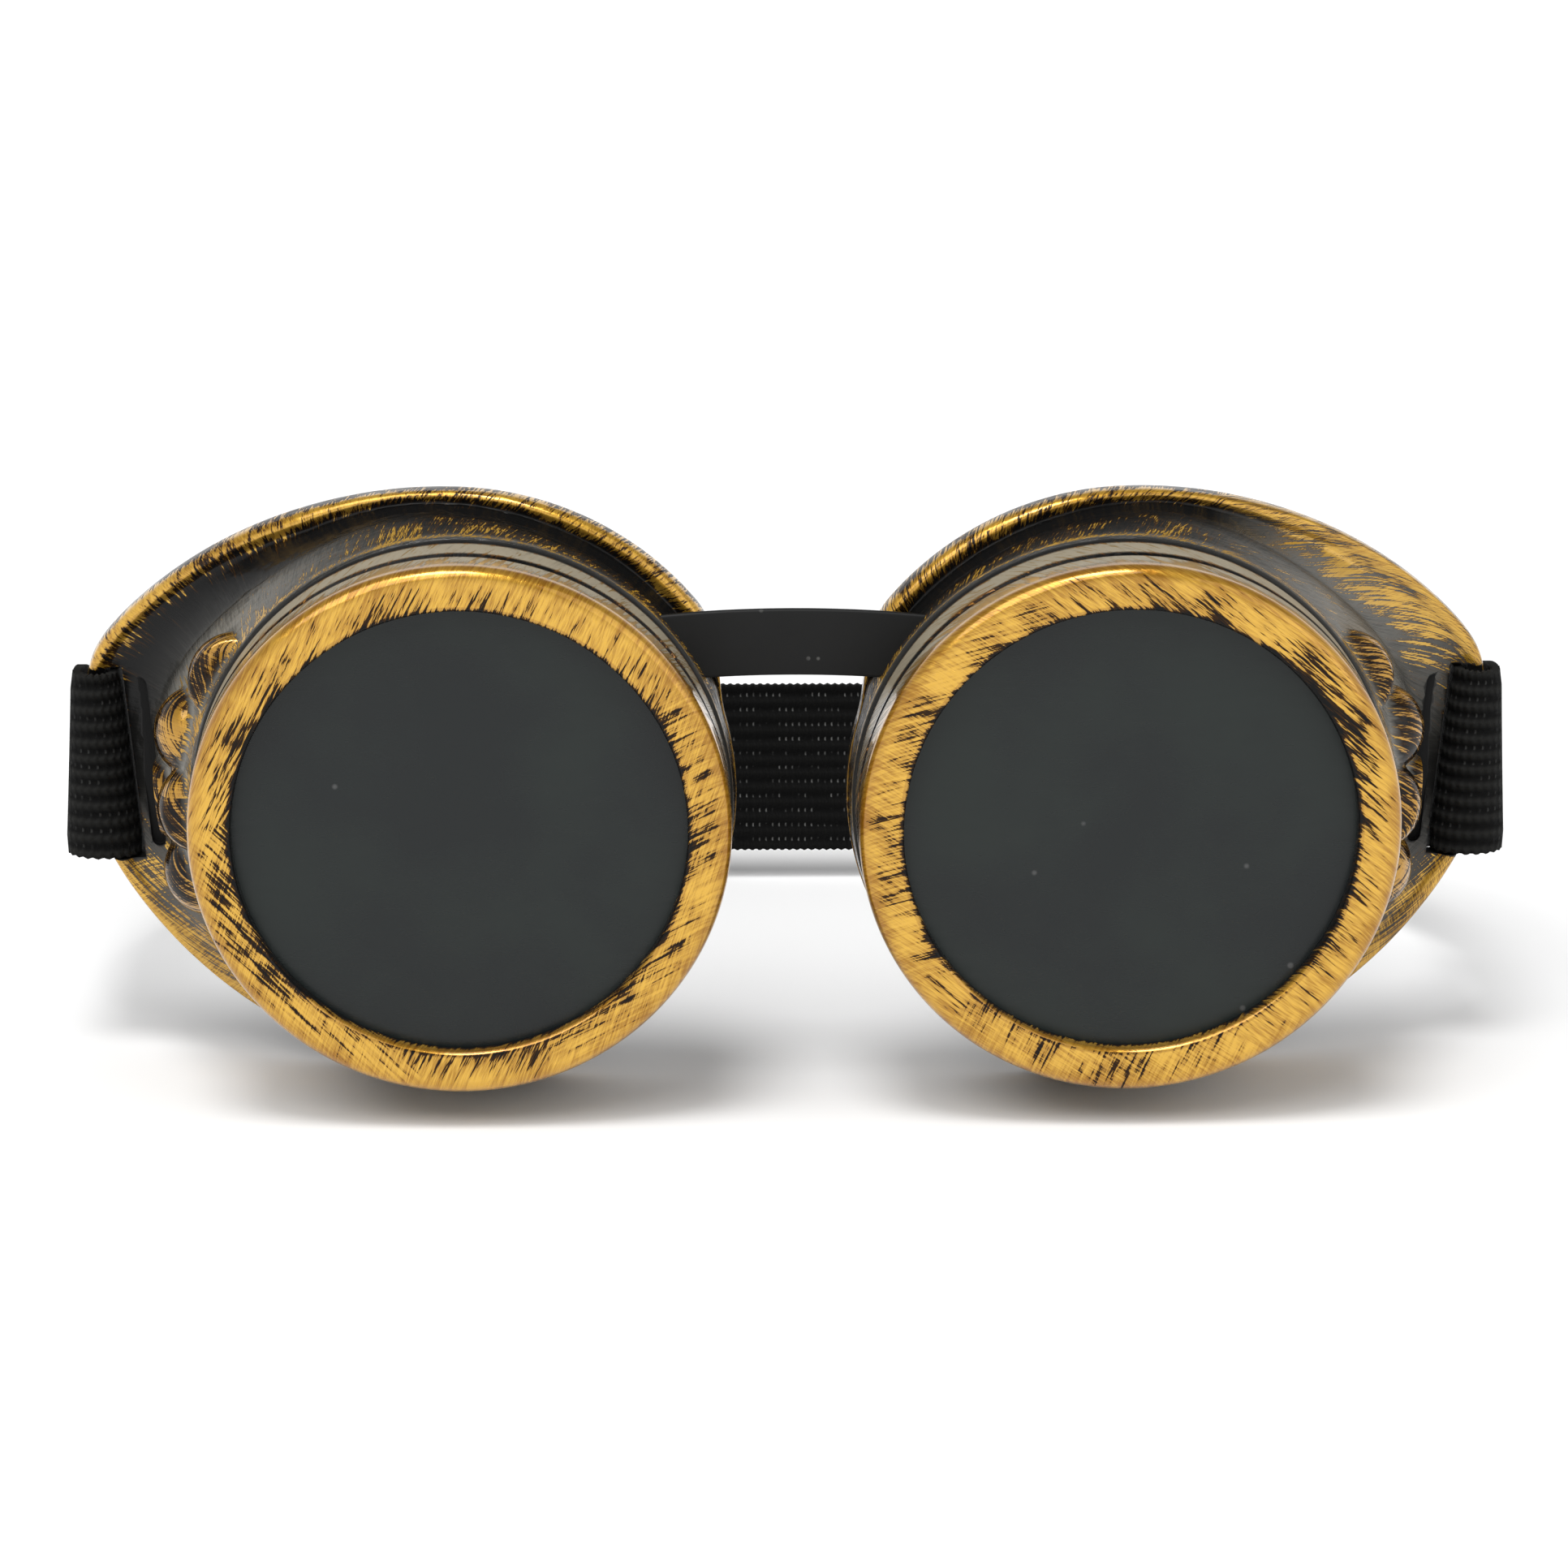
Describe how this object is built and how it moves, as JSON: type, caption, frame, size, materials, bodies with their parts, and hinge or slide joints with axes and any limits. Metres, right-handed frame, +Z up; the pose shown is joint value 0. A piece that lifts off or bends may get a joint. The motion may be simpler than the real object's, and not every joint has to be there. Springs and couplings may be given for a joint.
{
  "type": "welding goggles",
  "caption": "Round-cup goggles with screw-on lens rings, dark lenses, vented eyecups, a flexible nose bridge and an adjustable elastic head strap, in brushed antique gold.",
  "frame": {"origin": "middle of the bounding box, on the surface that the rims and the strap adjuster stand on", "axes": "+X to the right of someone looking at the lenses, +Y from the lenses back to the head, +Z up"},
  "size_m": [0.1524, 0.0966, 0.0628],
  "materials": {
    "gold_shell": "satin",
    "gold_ring": "satin",
    "dark_lens": "gloss",
    "clear_lens": "gloss",
    "gasket": "matte",
    "bridge": "satin",
    "pin": "satin",
    "elastic": "matte",
    "adjuster": "satin",
    "thread": "matte"
  },
  "bodies": {
    "main": {"right_cup": "gold_shell", "right_bridge_pin": "pin", "nose_bridge": "bridge", "strap_band": "elastic", "loop_stitching": "thread"},
    "left_eyecup": {"left_cup": "gold_shell", "left_bridge_pin": "pin"},
    "left_lenses": {"left_dark_lens": "dark_lens", "left_clear_lens": "clear_lens", "left_gasket": "gasket"},
    "right_lenses": {"right_dark_lens": "dark_lens", "right_clear_lens": "clear_lens", "right_gasket": "gasket"},
    "left_bezel": {"left_ring": "gold_ring"},
    "right_bezel": {"right_ring": "gold_ring"},
    "adjuster": {"strap_slider": "adjuster", "strap_return": "elastic", "slider_stitching": "thread"}
  },
  "joints": [
    {"name": "bridge_flex", "type": "hinge", "parent": "main", "child": "left_eyecup", "pos_m": [0, -0.03443, 0.0472], "axis": [0, 0, 1], "range_deg": [-25, 20], "stiffness_Nm_per_rad": 0.02, "deforming": ["nose_bridge", "strap_band", "strap_return"]},
    {"name": "left_ring_turn", "type": "hinge", "parent": "left_lenses", "child": "left_bezel", "pos_m": [-0.0339, -0.04828, 0.0314], "axis": [0, -1, 0], "range_deg": [0, 690]},
    {"name": "left_ring_advance", "type": "slide", "parent": "left_eyecup", "child": "left_lenses", "axis": [0, -1, 0], "range_m": [0, 0.0046]},
    {"name": "right_ring_turn", "type": "hinge", "parent": "right_lenses", "child": "right_bezel", "pos_m": [0.0339, -0.04828, 0.0314], "axis": [0, -1, 0], "range_deg": [0, 690]},
    {"name": "right_ring_advance", "type": "slide", "parent": "main", "child": "right_lenses", "axis": [0, -1, 0], "range_m": [0, 0.0046]},
    {"name": "slider_slide", "type": "slide", "parent": "main", "child": "adjuster", "axis": [1, 0, 0], "range_m": [0, 0.034], "deforming": ["strap_return"]}
  ],
  "couplings": [
    {"joint": "left_ring_advance", "follows": "left_ring_turn", "m_per_rad": 0.00038197},
    {"joint": "right_ring_advance", "follows": "right_ring_turn", "m_per_rad": 0.00038197}
  ]
}
